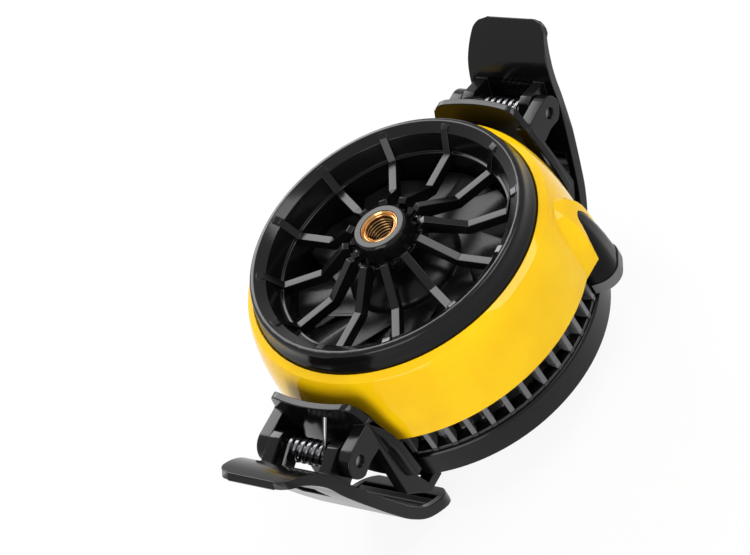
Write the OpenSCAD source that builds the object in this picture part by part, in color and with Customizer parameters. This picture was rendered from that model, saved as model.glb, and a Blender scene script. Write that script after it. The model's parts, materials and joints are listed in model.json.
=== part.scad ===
// Clip-on phone cooler: a round case with a fan, a heat sink and a thermoelectric
// cold plate, held on the back of a phone by two spring clips.
// +Z is the fan axis towards the front grille, z = 0 is the cold contact face.
// The clips lie on +X (right) and -X (left). All sizes are in millimetres.

/* [Cold side] */
// Thickness of the silicone contact pad
pad_t = 0.8; // [0.5:0.1:1.5]
// Thickness of the aluminium cold plate
plate_t = 2; // [1.5:0.1:3]
// Radius of the cold plate
plate_r = 28; // [26:0.5:28.5]
// Side of the square thermoelectric module
module_w = 30; // [20:1:36]
// Thickness of the thermoelectric module
module_t = 3.2; // [2.8:0.1:4]

/* [Heat sink and base] */
// Thickness of the heat sink's disc
sink_t = 2.4; // [1.8:0.1:3.2]
// Number of heat sink fins
sink_fins = 40; // [20:2:48]
// Thickness of one heat sink fin
sink_fin_t = 0.8; // [0.6:0.1:1.2]
// Height of the heat sink fins
sink_fin_h = 7.2; // [5:0.1:7.6]
// Height of the base ring's wall above the heat sink's disc
base_lip = 1.1; // [0.8:0.1:2]
// Wall of the base ring
base_wall = 2.5; // [2:0.1:3]
// Height of the air outlet between base ring and case
vent_h = 6.7; // [6:0.1:8]
// Number of upright ribs in the air outlet
vent_ribs = 50; // [30:1:60]
// Thickness of one rib
rib_t = 1.1; // [0.8:0.1:1.6]

/* [Case] */
// Radius of the fan at its blade tips
fan_r = 23.3; // [22:0.1:24]
// Gap between blade tips and shroud
tip_gap = 0.7; // [0.5:0.1:1.5]
// Width of the grille rim from the shroud to its crest
rim_in_w = 4; // [3.5:0.1:5]
// Width of the grille rim from its crest to the case
rim_out_w = 2.2; // [1.8:0.1:3]
// Height of the rim's crest above the case
rim_h = 4.1; // [3.5:0.1:5]
// Height of the case sleeve
case_h = 16.7; // [15:0.1:19]
// How far the case flares out below the rim
case_flare = 3.9; // [3.5:0.1:5]

/* [Grille] */
// Number of spokes
spokes = 12; // [8:1:14]
// Width of a spoke
spoke_w = 1.7; // [1.2:0.1:2.2]
// Depth of a spoke along the fan axis
spoke_d = 2.2; // [1.6:0.1:2.4]
// Drop of the flat stretch of the spokes below the crest
spoke_drop = 4.8; // [4:0.1:5.2]
// Radius at which the spokes bend up to the hub
bend_r = 15.6; // [14:0.1:18]
// Radius of the hub's crown, where the spokes end
crown_r = 8.6; // [8:0.1:10]
// Radius of the hub boss at its top
boss_r = 5.25; // [5:0.05:6]
// Height of the hub boss above the crest
boss_up = 2; // [0.6:0.1:2.4]
// Outer radius of the brass insert
insert_r = 3.85; // [3.6:0.05:4.2]
// Radius of the insert's core hole, for a quarter inch screw of 20 threads to the inch
thread_r = 2.6; // [2.5:0.05:2.8]
// Radius of the insert's countersunk mouth
mouth_r = 3.2; // [3.1:0.05:3.4]
// Length of the insert
insert_l = 7; // [5:0.1:7.4]

/* [Fan] */
// Number of blades
blades = 9; // [5:1:11]
// Thickness of a blade
blade_t = 1.1; // [0.8:0.1:1.5]
// Setting angle of the blades
blade_pitch = 36; // [28:1:42]
// Radius of the impeller's hub
hub_r = 11.8; // [11.4:0.1:13]
// Radius of the fan shaft
shaft_r = 0.75; // [0.5:0.05:1]
// Thickness of the rotor's magnet ring
magnet_t = 1.35; // [1:0.05:2]
// Number of stator poles
poles = 4; // [3:1:5]

/* [Clips] */
// Distance of the clip pins from the case's foot
pivot_out = 8; // [7.5:0.1:10]
// Height of the clip pins above the case's foot
pivot_up = 7.64; // [7:0.1:9]
// Radius of the clip pins
pin_r = 1.15; // [0.9:0.05:1.3]
// Radius of the pin bosses on the brackets
cheek_r = 3.5; // [3:0.1:3.6]
// Thickness of a bracket cheek
cheek_t = 2.76; // [2.4:0.1:3.2]
// Half the distance between the cheeks
cheek_y = 8.5; // [8.2:0.1:9.5]
// Thickness of the saddle plate
saddle_t = 1.5; // [1.2:0.1:1.8]
// Gap between case foot and saddle plate
saddle_gap = 2.1; // [1.8:0.1:2.6]
// Width of a lever from its lugs to its jaw
lever_w = 21; // [18:0.5:21.5]
// Width of a lever at its paddle's tip
paddle_w = 17.4; // [15:0.2:18]
// Thickness of a lever
lever_t = 2.5; // [2:0.1:2.8]
// Thickness of a lever's lug
lug_t = 2.6; // [2:0.1:2.8]
// Depth of the jaw pad's tray
tray_d = 1.1; // [0.8:0.1:1.3]
// Width of the rim round the jaw pad
tray_rim = 1.6; // [1.2:0.1:2.4]
// Wire diameter of the clip springs
wire_d = 0.85; // [0.6:0.05:0.9]
// Mean radius of the spring coils
coil_r = 2.15; // [2.1:0.05:2.4]
// Turns of a clip spring
coil_turns = 6; // [4:1:6]
// Pitch of the spring coils
coil_pitch = 1.5; // [1.4:0.05:1.6]

/* [Power inlet] */
// Angle of the inlet hood round the fan axis
hood_angle = 118; // [110:1:122]
// Room between the socket and the hood's wall
hood_room = 0.65; // [0.6:0.05:1.2]
// How far the hood stands out from the case's foot
hood_out = 3.85; // [3.8:0.05:5]
// Wall of the hood
hood_wall = 0.8; // [0.7:0.05:1]
// Height of the hood from its lip to its nose
hood_h = 18.5; // [17:0.1:19]

/* [Hidden] */
$fn = 96;
// Small gap between pieces that fit together
fit = 0.05;
// Running clearance of turning fits
run_fit = 0.04;
// Gap between a moving piece and the piece it closes on
rest_gap = 0.3;
// Reach of cutting shapes past the faces that they cut
over = 1;

// Heights, from the cold face upwards
plate_z = pad_t;
module_z = plate_z + plate_t;
sink_z = module_z + module_t;
sink_top = sink_z + sink_t;
base_z = module_z + 0.3;
base_top = sink_top + base_lip;
case_z = base_top + vent_h;
case_top = case_z + case_h;
crest_z = case_top + rim_h;
boss_top = crest_z + boss_up;
spoke_z = crest_z - spoke_drop;

// Radii, from the fan outwards
shroud_r = fan_r + tip_gap;
crest_r = shroud_r + rim_in_w;
skirt_r = crest_r + rim_out_w;
skirt_t = 1.6;
case_bore_r = skirt_r + fit;
case_edge_r = case_bore_r + 0.2;
case_r = case_edge_r + case_flare;
base_r = case_r - 0.8;
base_bore_r = base_r - base_wall;
rib_r = case_r - 1.1;
rib_root_r = base_bore_r - 0.8;
sink_r = base_bore_r - 0.2;
screw_ring_r = rib_root_r - 0.6;
fin_out_r = screw_ring_r - 1.5;

// Fasteners
screw_r = 0.8;
screw_head_r = 1.15;
screw_head_h = 1.1;
column_r = 1.3;
screw_count = 6;
toe_screw_r = 0.55;
toe_head_r = 1;
toe_head_h = 0.7;
// Length of the bracket screws in the base ring
toe_bite = 2;

// Motor, from the hub inwards and from the heat sink upwards
yoke_t = 0.6;
yoke_r = hub_r - 1.35;
magnet_r = yoke_r - yoke_t - fit;
magnet_in_r = magnet_r - magnet_t;
// Air gap between stator and magnet
motor_gap = 0.45;
stator_r = magnet_in_r - motor_gap;
tube_r = 2.8;
bush_r = 2;
motor_plate_t = 1.2;
motor_board_t = 0.8;
motor_r = hub_r - 1.4;
board_top = sink_top + motor_plate_t + motor_board_t;
hub_z = board_top + 1.6;
stator_z = hub_z + 0.4;
stator_h = 5;
yoke_top = stator_z + stator_h + 2.5;
bush_top = yoke_top - yoke_t - 0.6;
post_r = 2;
boss_end = boss_top - insert_l - 0.4;
dome_top = boss_end - 0.6;
dome_edge_z = spoke_z - spoke_d - 2.6;
blade_h = 10.4;
blade_z = dome_edge_z - blade_h / 2 - 0.4;
blade_camber = 17;

// Clip geometry, for the right hand clip
pivot_x = case_r + pivot_out;
pivot_z = case_z + pivot_up;
saddle_r = case_r + saddle_gap;
saddle_out_r = saddle_r + saddle_t;
saddle_half_w = cheek_y + 5;
saddle_top = pivot_z + 8.3;
saddle_foot = case_z + 2.3;
leg_in_x = saddle_r - 1.7;
lug_y = cheek_y - 0.2 - lug_t;
lug_r = 3.1;
// Depth of the pin's ends below the brackets' outer faces
pin_sunk = 0.8;
toe_x = base_r - 4.1;
toe_z = base_z - 2.3;
toe_screw_x = toe_x + 1.3;
toe_screw_y = cheek_y + cheek_t / 2;
lever_corner = 4.5;
// The paddle's corners look round along its slope
paddle_corner = [2.8, 3.6];
// Height to which the lever's plan is extruded above and below its pin
lever_reach = 40;
window_w = 6.8;

// Middle line of a lever from paddle to jaw tip, from its pin
lever_knots = [[14.3, 11.6], [11, 9.2], [8.3, 6], [6.5, 2.4], [5.1, -2.4], [2.5, -9.4],
    [-0.6, -17], [-3, -22], [-6.4, -26.4], [-12.8, -30.4]];
knot_steps = 6;
jaw_from = 5 * knot_steps + 3;
jaw_to = len(lever_knots) * knot_steps - knot_steps - 3;

// Points on a smooth curve through the knots k, with n steps from knot to knot
function curve_point(a, b, c, d, t) =
    (2 * b + (c - a) * t + (2 * a - 5 * b + 4 * c - d) * t * t
    + (3 * b - a - 3 * c + d) * t * t * t) / 2;
function smooth_line(k, n) = [
    for (i = [0:len(k) - 2], s = [0:n - 1])
        curve_point(k[max(i - 1, 0)], k[i], k[i + 1], k[min(i + 2, len(k) - 1)], s / n),
    k[len(k) - 1]
];
// Unit vector square to the line p at its point i, to the right of its course
function side_vector(p, i) =
    let (d = p[min(i + 1, len(p) - 1)] - p[max(i - 1, 0)]) [-d[1], d[0]] / norm(d);
// A lever is thinner at its paddle than from its lugs to its jaw
function lever_share(k) = min(1, 0.62 + 0.38 * k / (2 * knot_steps));
// Closed band along the line p from point i to point j, between two offsets
function band(p, i, j, from, to) = concat(
    [for (k = [i:j]) p[k] + from * lever_share(k) * side_vector(p, k)],
    [for (k = [j:-1:i]) p[k] + to * lever_share(k) * side_vector(p, k)]
);
function bezier(a, b, c, d, n) = [
    for (i = [0:n]) let (t = i / n, u = 1 - t)
        u * u * u * a + 3 * u * u * t * b + 3 * u * t * t * c + t * t * t * d
];

lever_line = smooth_line(lever_knots, knot_steps);
lever_last = len(lever_line) - 1;
// The inner side of a lever faces its pin
inner_off = -lever_t * 0.4;
outer_off = lever_t * 0.6;

// Shared shapes
module tube(z0, z1, inner, outer) {
    translate([0, 0, z0]) difference() {
        cylinder(r = outer, h = z1 - z0);
        translate([0, 0, -over]) cylinder(r = inner, h = z1 - z0 + 2 * over);
    }
}
module disc(z0, z1, r) {
    translate([0, 0, z0]) cylinder(r = r, h = z1 - z0);
}
// Copies round the fan axis
module around(count, start = 0) {
    for (i = [0:count - 1]) rotate([0, 0, start + i * 360 / count]) children();
}
// A plate of the given thickness from an outline in the XZ plane, centred on y
module upright(y, t) {
    translate([0, y + t / 2, 0]) rotate([90, 0, 0]) linear_extrude(t) children();
}
// A cross bar along Y through the right hand clip's pivot
module cross_bar(r, y0, y1) {
    translate([pivot_x, y0, pivot_z]) rotate([-90, 0, 0]) cylinder(r = r, h = y1 - y0);
}
// The same shape on the left hand clip, turned half a turn round the fan axis
module left_hand() {
    rotate([0, 0, 180]) children();
}

// Front grille
// Width of the blocks between the spokes on the hub's crown
crown_block = 1.9;
wall_top = [crest_r - 2, crest_z - 1.2];
// A narrow ledge runs round the shroud just below the spokes' outer bends
ledge_w = 0.6;
ledge_z = spoke_z - 0.25;
module grille_shell() {
    rotate_extrude() polygon(concat(
        [[crest_r, crest_z], wall_top, [shroud_r + ledge_w, ledge_z], [shroud_r + 0.05, ledge_z],
        [shroud_r, ledge_z - 0.1],
        [shroud_r, blade_z - blade_h / 2 + 1.5], [shroud_r + 1.2, blade_z - blade_h / 2 + 1.5],
        [shroud_r + 1.2, spoke_z - 3.2], [skirt_r - skirt_t, spoke_z - 1.2],
        [skirt_r - skirt_t, seat_z], [skirt_r, seat_z]],
        bezier([skirt_r, case_top], [skirt_r + 0.1, case_top + rim_h * 0.6],
            [crest_r + rim_out_w * 0.75, crest_z], [crest_r + 0.2, crest_z], 10)
    ));
}
module spoke() {
    top = [[crest_r - 0.45, crest_z - 0.12], [crest_r - 1.8, crest_z - 0.55], [shroud_r - 0.4, spoke_z],
        [bend_r, spoke_z], [crown_r, crest_z + 0.1], [crown_r - 1.1, crest_z + 0.1]];
    rotate([90, 0, 0]) translate([0, 0, -spoke_w / 2]) linear_extrude(spoke_w) polygon(concat(
        top,
        [[crown_r - 1.1, crest_z + 0.1 - spoke_d * 1.3], [bend_r - 0.4, spoke_z - spoke_d],
        [shroud_r + 0.3, spoke_z - spoke_d], [crest_r - 1.2, crest_z - 2.4]]
    ));
}
module front_grille() color("#1b1b1d") difference() {
    union() {
        grille_shell();
        around(spokes) spoke();
        // Hub boss with a stepped crown
        rotate_extrude() polygon([[0, boss_end], [crown_r - 2.6, boss_end],
            [crown_r - 0.7, crest_z - 3.6], [crown_r - 0.7, crest_z - 2], [boss_r + 1.3, crest_z - 2.2],
            [boss_r + 0.3, boss_top - 0.5], [boss_r - 0.1, boss_top], [0, boss_top]]);
        around(spokes, 180 / spokes) translate([boss_r + 0.9, -crown_block / 2, crest_z - 2.8])
            cube([crown_r - boss_r - 1.7, crown_block, 1.9]);
    }
    translate([0, 0, boss_end - over]) cylinder(r = insert_r + fit, h = insert_l + 2 * over + 2);
}
module threaded_insert() color("#d3a03c") difference() {
    disc(boss_top - insert_l, boss_top, insert_r);
    disc(boss_top - insert_l - over, boss_top + over, thread_r);
    translate([0, 0, boss_top - (mouth_r - thread_r)])
        cylinder(r1 = thread_r, r2 = mouth_r + over, h = mouth_r - thread_r + over);
}

// Inlet hood: a rounded arch over the socket that narrows upwards to a blunt nose
socket_w = 7.5;
socket_d = 2.5;
socket_l = 5.6;
hood_w = socket_w + 2 * (hood_room + hood_wall);
hood_low = base_top + 0.3;
hood_lip_h = 2.3;
hood_lip = 0.25;
hood_back_r = rib_r - 0.2;
hood_ridge_r = case_r + hood_out;
nose_r = case_r - 0.35;
hood_corner = 3.9;
// Heights of the hood's sections as shares of its height, up to the nose and up to the end of the hollow
hood_steps = [0, 0.2, 0.38, 0.54, 0.68, 0.8, 0.89, 0.95, 0.985];
nose_step = len(hood_steps) - 1;
hollow_step = 4;
// The hood narrows like a quarter of an ellipse
function taper(u) = sqrt(1 - u * u);
module arch_section(z, ridge, half_w, corner) {
    translate([0, 0, z]) linear_extrude(0.02) union() {
        translate([hood_back_r - 3, -half_w]) square([ridge - corner - hood_back_r + 3, 2 * half_w]);
        translate([ridge - corner - over, corner - half_w]) square([corner + over, 2 * (half_w - corner)]);
        for (s = [-1, 1]) translate([ridge - corner, s * (half_w - corner)]) circle(r = corner, $fn = 32);
    }
}
module hood_body(grow, low, last) {
    rotate([0, 0, hood_angle]) hull() {
        arch_section(low, hood_ridge_r + grow, hood_w / 2 + grow, hood_corner + grow);
        for (i = [0:last]) let (k = taper(hood_steps[i]))
            arch_section(hood_low + hood_steps[i] * hood_h, nose_r + (hood_ridge_r - nose_r) * k + grow,
                hood_w / 2 * k + grow, hood_corner * k + grow);
    }
}
module usb_port_hood() color("#202022") difference() {
    union() {
        hood_body(0, hood_low, nose_step);
        rotate([0, 0, hood_angle]) hull() for (z = [hood_low - 0.1, hood_low + hood_lip_h])
            arch_section(z, hood_ridge_r + hood_lip, hood_w / 2 + hood_lip, hood_corner + hood_lip);
    }
    hood_body(-hood_wall, hood_low - over, hollow_step);
    disc(0, crest_z, hood_back_r);
}

// Case sleeve, with a chamfered top edge
case_chamfer = [1.4, 0.95];
// A raised fairing leads from the case up to the hood and fades out below the top edge
fairing_h = case_h - case_chamfer[1] - 1.1;
fairing_r = case_r + 2.05;
fairing_end_r = case_r - 2.2;
module fairing_section(u, edge_r) {
    foot = 1.6 + (hood_w / 2 + 0.7) * taper(u);
    edge = 0.4 + (hood_w / 2 - 1.2) * taper(u);
    foot_r = case_r - 1.2 - 2 * u * u;
    translate([0, 0, case_z + u * fairing_h]) linear_extrude(0.02)
        polygon([[case_bore_r + 0.5, -foot], [foot_r, -foot], [edge_r, -edge],
            [edge_r, edge], [foot_r, foot], [case_bore_r + 0.5, foot]]);
}
module fairing() rotate([0, 0, hood_angle]) hull() {
    fairing_section(0, case_r + 0.4);
    for (i = [1:10]) fairing_section(i / 10, fairing_r - (fairing_r - fairing_end_r) * pow(i / 10, 6));
}
module case_ring() color("#ffc81e") difference() {
    union() {
        rotate_extrude() polygon(concat(
            [[case_bore_r, case_z], [case_r - 0.5, case_z]],
            bezier([case_r, case_z + 0.5], [case_r - 0.05, case_z + case_h * 0.37],
                [case_edge_r + case_chamfer[0] + 1.7, case_top - case_chamfer[1] - 3],
                [case_edge_r + case_chamfer[0], case_top - case_chamfer[1]], 16),
            [[case_edge_r, case_top], [case_bore_r, case_top - 0.3]]
        ));
        fairing();
    }
    hood_body(fit * 2, hood_low, nose_step);
}

// Air outlet
// The grille's skirt seats a little below the rib ends
seat_z = case_z - 0.2;
rib_pitch = 360 / vent_ribs;
hood_clear = asin((hood_w / 2 + 1.2) / rib_r);
function rib_angle(i) = 4.9 + i * rib_pitch;
module vent_ring() color("#232325") difference() {
    union() {
        tube(base_top, base_top + 0.9, rib_root_r, rib_r - 0.3);
        tube(case_z - 1.6, seat_z, skirt_r - skirt_t - 0.4, rib_root_r + 1.2);
        for (i = [0:vent_ribs - 1]) if (abs(rib_angle(i) - hood_angle) > hood_clear)
            rotate([0, 0, rib_angle(i)]) translate([rib_root_r + 0.3, -rib_t / 2, base_top + 0.4])
                cube([rib_r - rib_root_r - 0.3, rib_t, vent_h - 0.4]);
        around(screw_count, 180 / screw_count) translate([screw_ring_r, 0, sink_top])
            cylinder(r = column_r, h = case_z - sink_top - 0.9);
    }
    around(screw_count, 180 / screw_count) translate([screw_ring_r, 0, sink_top - over])
        cylinder(r = screw_r + fit, h = vent_h + base_lip - 1);
    rotate([0, 0, hood_angle]) translate([hood_back_r - 1.4, -hood_w / 2 - hood_lip - 0.1, base_top - over])
        cube([hood_out + 4, hood_w + 2 * hood_lip + 0.2, vent_h + 2 * over]);
}
module base_cover() color("#1d1d1f") difference() {
    rotate_extrude() polygon([[plate_r + 0.2, base_z], [base_r - 0.6, base_z], [base_r, base_z + 0.6],
        [base_r, base_top - 0.4], [base_r - 0.4, base_top], [base_bore_r, base_top],
        [base_bore_r, sink_z], [plate_r + 0.2, sink_z]]);
    around(screw_count, 180 / screw_count) translate([screw_ring_r, 0, base_z - over]) {
        cylinder(r = screw_r + 0.2, h = base_top);
        cylinder(r = screw_head_r + 0.1, h = over + screw_head_h + 0.1);
    }
    for (a = [0, 180], s = [-1, 1]) rotate([0, 0, a]) translate([toe_screw_x, s * toe_screw_y, base_z - over])
        cylinder(r = toe_screw_r + fit, h = over + toe_bite + 0.6);
}
module housing_screws() color("#8f9196") around(screw_count, 180 / screw_count)
    translate([screw_ring_r, 0, base_z + 0.1]) difference() {
        union() {
            cylinder(r = screw_head_r, h = screw_head_h);
            cylinder(r = screw_r, h = case_z - 3 - base_z);
        }
        translate([-0.9, -0.15, -over]) cube([1.8, 0.3, over + 0.4]);
        translate([-0.15, -0.9, -over]) cube([0.3, 1.8, over + 0.4]);
    }

// Cold side and heat sink
module thermal_pad() color("#3b6f8f") disc(0, plate_z, plate_r - 1);
module cold_plate() color("#c9ccd0") rotate_extrude() polygon([[0, plate_z], [plate_r - 0.5, plate_z],
    [plate_r, plate_z + 0.5], [plate_r, module_z], [0, module_z]]);
module peltier_module() color("#f2f0ea") {
    for (z = [module_z, sink_z - 0.8])
        translate([-module_w / 2, -module_w / 2, z]) cube([module_w, module_w, 0.8]);
    translate([1 - module_w / 2, 1 - module_w / 2, module_z + 0.8])
        cube([module_w - 2, module_w - 2, module_t - 1.6]);
}
module insulation_ring() color("#2c2c2c") difference() {
    disc(module_z, sink_z, plate_r - 2);
    translate([-module_w / 2 - 0.3, -module_w / 2 - 0.3, module_z - over])
        cube([module_w + 0.6, module_w + 0.6, module_t + 2 * over]);
}
module heat_sink() color("#b9bcc1") difference() {
    union() {
        disc(sink_z, sink_top, sink_r);
        intersection() {
            around(sink_fins) translate([hub_r + 0.8, -sink_fin_t / 2, sink_top - 0.1])
                cube([fin_out_r - hub_r, sink_fin_t, sink_fin_h + 0.1]);
            disc(sink_z, case_z, fin_out_r);
        }
    }
    around(screw_count, 180 / screw_count) translate([screw_ring_r, 0, sink_z - over])
        cylinder(r = screw_r + 0.2, h = sink_t + 2 * over);
}

// Fan motor, fixed half
module motor_base() color("#2a2a2c") difference() {
    union() {
        disc(sink_top, sink_top + motor_plate_t, motor_r);
        disc(sink_top, bush_top + 0.2, tube_r);
    }
    disc(sink_top + motor_plate_t, bush_top + over, bush_r + fit);
}
module motor_board() color("#1f5a3a") tube(sink_top + motor_plate_t, board_top, tube_r + fit, motor_r - 0.8);
module bearing_sleeve() color("#b8863b") tube(sink_top + motor_plate_t, bush_top, shaft_r + run_fit, bush_r);
arm_w = 2.2;
coil_w = 4.6;
shoe_in_r = stator_r - 1.1;
coil_in_x = tube_r + 1.5;
coil_out_x = sqrt(pow(shoe_in_r, 2) - pow(coil_w / 2, 2)) - 0.1;
module stator_core() color("#7d8086") {
    tube(stator_z, stator_z + stator_h, tube_r + fit, tube_r + 1.4);
    around(poles) {
        translate([tube_r + 1.2, -arm_w / 2, stator_z]) cube([shoe_in_r - tube_r - 1, arm_w, stator_h]);
        intersection() {
            tube(stator_z, stator_z + stator_h, shoe_in_r, stator_r);
            translate([0, 0, stator_z]) linear_extrude(stator_h)
                polygon([[0, 0], 2 * stator_r * [cos(28), -sin(28)], 2 * stator_r * [cos(28), sin(28)]]);
        }
    }
}
module stator_coils() color("#b5673a") around(poles)
    translate([coil_in_x, 0, stator_z + stator_h / 2]) difference() {
        translate([0, -coil_w / 2, -stator_h / 2 - 0.8])
            cube([coil_out_x - coil_in_x, coil_w, stator_h + 1.6]);
        translate([-over, -arm_w / 2 - fit, -stator_h / 2 - fit])
            cube([stator_r, arm_w + 2 * fit, stator_h + 2 * fit]);
    }

// Fan motor, turning half
module blade() {
    rise = blade_camber * cos(28);
    intersection() {
        tube(blade_z - blade_h / 2, blade_z + blade_h / 2, hub_r - 0.5, fan_r);
        translate([0, 0, blade_z]) rotate([blade_pitch, 0, 0]) translate([0, 0, -rise])
            intersection() {
                rotate([0, 90, 0]) difference() {
                    cylinder(r = blade_camber + blade_t / 2, h = fan_r + over);
                    cylinder(r = blade_camber - blade_t / 2, h = fan_r + over);
                }
                translate([0, -blade_camber, rise * 0.8])
                    cube([fan_r + over, 2 * blade_camber, blade_camber]);
            }
    }
}
module fan_impeller() color("#2b2b2e") difference() {
    union() {
        rotate_extrude() polygon(concat([[0, hub_z], [hub_r, hub_z], [hub_r, dome_edge_z]],
            bezier([hub_r, dome_edge_z], [hub_r - 0.3, dome_edge_z + 1.4], [hub_r * 0.7, dome_top],
                [0, dome_top], 8)));
        around(blades) blade();
    }
    disc(hub_z - over, yoke_top + fit, yoke_r + fit);
    tube(yoke_top, dome_edge_z - 2, post_r, yoke_r - 1.5);
    disc(0, dome_edge_z - 1, shaft_r);
}
module rotor_yoke() color("#9a9da3") difference() {
    disc(hub_z, yoke_top, yoke_r);
    disc(hub_z - over, yoke_top - yoke_t, yoke_r - yoke_t);
    disc(hub_z, yoke_top + over, post_r + fit);
}
module rotor_magnet() color("#3a3a3d") tube(hub_z + 0.2, yoke_top - yoke_t - 0.4, magnet_in_r, magnet_r);
module fan_shaft() color("#d5d7da") disc(sink_top + motor_plate_t + 0.3, dome_edge_z - 1, shaft_r - fit / 5);

// Power inlet
inlet_board_t = 0.8;
inlet_board_w = 6.8;
inlet_board_h = 7.4;
shell_t = 0.3;
tongue_w = 4.6;
socket_z = hood_low + 0.6;
socket_x = hood_back_r + inlet_board_t + 0.3;
// Outline of a micro USB socket: two corners are cut off on its outer side
module socket_outline(w, d) {
    polygon([[0, -w / 2], [d * 0.45, -w / 2], [d, d / 2 - w / 2], [d, w / 2 - d / 2], [d * 0.45, w / 2],
        [0, w / 2]]);
}
module usb_socket() color("#c4c6ca") rotate([0, 0, hood_angle]) translate([socket_x, 0, socket_z]) {
    difference() {
        linear_extrude(socket_l) socket_outline(socket_w, socket_d);
        translate([shell_t, 0, -over]) linear_extrude(socket_l + over - 0.8)
            socket_outline(socket_w - 2 * shell_t, socket_d - 2 * shell_t);
    }
    translate([shell_t + 0.35, -tongue_w / 2, 0.8]) cube([0.6, tongue_w, socket_l - 1.2]);
}
module control_board() color("#1f5a3a") rotate([0, 0, hood_angle])
    translate([hood_back_r + 0.25, -inlet_board_w / 2, socket_z + 0.4])
        cube([inlet_board_t, inlet_board_w, inlet_board_h]);

// Clips
module bracket_side() {
    pin = [pivot_x, pivot_z];
    polygon([[leg_in_x, pivot_z + cheek_r], [pivot_x, pivot_z + cheek_r],
        pin + cheek_r * [cos(80), -sin(80)], [pivot_x - 1.3, pivot_z - 9.6],
        [base_r + 5, base_z + 3.9], [base_r + 0.5, toe_z + 0.2], [toe_x, toe_z], [toe_x, base_z],
        [base_r - 0.4, base_z], [base_r + 0.4, base_z + 3.1], [base_r + 1.1, base_top - 0.5]]);
    translate(pin) circle(r = cheek_r);
}
// The saddle plate joins the legs, follows the case and widens downwards
module saddle() {
    shoulder = [cheek_y + 2.6, saddle_top - 5];
    outline = concat(bezier([cheek_y - 1, saddle_top], [cheek_y + 1.6, saddle_top],
        [cheek_y + 1.9, shoulder[1] + 2.5], shoulder, 8), [[saddle_half_w, saddle_foot]]);
    intersection() {
        tube(saddle_foot, saddle_top, saddle_r, saddle_out_r);
        rotate([90, 0, 90]) linear_extrude(pivot_x)
            polygon(concat(outline, [for (i = [len(outline) - 1:-1:0]) [-outline[i][0], outline[i][1]]]));
    }
}
module clip_bracket() color("#222224") difference() {
    union() {
        for (s = [-1, 1]) upright(s * toe_screw_y, cheek_t) bracket_side();
        saddle();
    }
    cross_bar(pin_r + fit, -cheek_y - cheek_t - over, cheek_y + cheek_t + over);
    for (s = [-1, 1]) translate([toe_screw_x, s * toe_screw_y, toe_z - over]) {
        cylinder(r = toe_screw_r + fit, h = base_z - toe_z + 2 * over);
        cylinder(r = toe_head_r + fit, h = over + toe_head_h + 0.1);
    }
}
module bracket_screws() color("#8f9196") for (a = [0, 180], s = [-1, 1])
    rotate([0, 0, a]) translate([toe_screw_x, s * toe_screw_y, toe_z + 0.1]) difference() {
        union() {
            cylinder(r = toe_head_r, h = toe_head_h);
            cylinder(r = toe_screw_r, h = base_z - toe_z + toe_bite);
        }
        translate([-0.7, -0.12, -over]) cube([1.4, 0.24, over + 0.3]);
    }
module clip_pin() color("#6f7278")
    cross_bar(pin_r, pin_sunk - cheek_y - cheek_t, cheek_y + cheek_t - pin_sunk);

// Plan of a lever: a strip with rounded ends that narrows towards its paddle's tip
function corner_arc(middle, r, from) = [for (i = [0:6]) let (a = from + 15 * i)
    middle + [r[0] * cos(a), r[1] * sin(a)]];
module lever_plan() {
    tip = pivot_x + lever_knots[0][0] + 0.5;
    toe = pivot_x + lever_knots[len(lever_knots) - 1][0] - 0.9;
    r = lever_corner * [1, 1];
    near_tip = [tip - paddle_corner[0], paddle_w / 2 - paddle_corner[1]];
    near_toe = [toe + r[0], lever_w / 2 - r[1]];
    half = concat(corner_arc(near_tip, paddle_corner, 0), [[pivot_x + 4, lever_w / 2]],
        corner_arc(near_toe, r, 90));
    polygon(concat(half, [for (i = [len(half) - 1:-1:0]) [half[i][0], -half[i][1]]]));
}
// An outline in pin coordinates, as a bar of the given width
module lever_bar(width) {
    translate([pivot_x, 0, pivot_z]) upright(0, width) children();
}
module clip_lever() color("#1e1e20") difference() {
    union() {
        intersection() {
            lever_bar(lever_w) polygon(band(lever_line, 0, lever_last, inner_off, outer_off));
            translate([0, 0, pivot_z - lever_reach]) linear_extrude(2 * lever_reach) lever_plan();
        }
        for (s = [-1, 1]) translate([pivot_x, 0, pivot_z]) upright(s * (lug_y + lug_t / 2), lug_t) {
            circle(r = lug_r);
            polygon([lug_r * [cos(135), sin(135)], [-1, lug_r + 0.5], [0.6, lug_r + 0.9],
                lever_line[3 * knot_steps], lever_line[4 * knot_steps + 2], lug_r * [cos(110), -sin(110)]]);
        }
    }
    cross_bar(pin_r + run_fit, -lever_w, lever_w);
    // Window under the spring
    translate([pivot_x + 2, -window_w / 2, pivot_z - 6.5]) cube([8, window_w, 5.2]);
    // Tray of the jaw pad
    lever_bar(lever_w - 2 * tray_rim)
        polygon(band(lever_line, jaw_from, jaw_to, inner_off + tray_d, inner_off - over));
}
module jaw_pad() color("#77787b") lever_bar(lever_w - 2 * tray_rim - 2 * fit) polygon(concat(
    [for (k = [jaw_from + 1:jaw_to - 1])
        lever_line[k] + (inner_off + tray_d - fit) * side_vector(lever_line, k)],
    [for (k = [jaw_to - 1:-1:jaw_from + 1])
        lever_line[k] + (inner_off + (k % 2) * tray_d * 0.4) * side_vector(lever_line, k)]
));

// Clip springs: one unbroken wire, a helix on the pin with a straight leg at each end
rings_per_turn = 8;
wire_sides = 6;
spring_y = -coil_turns * coil_pitch / 2;
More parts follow.
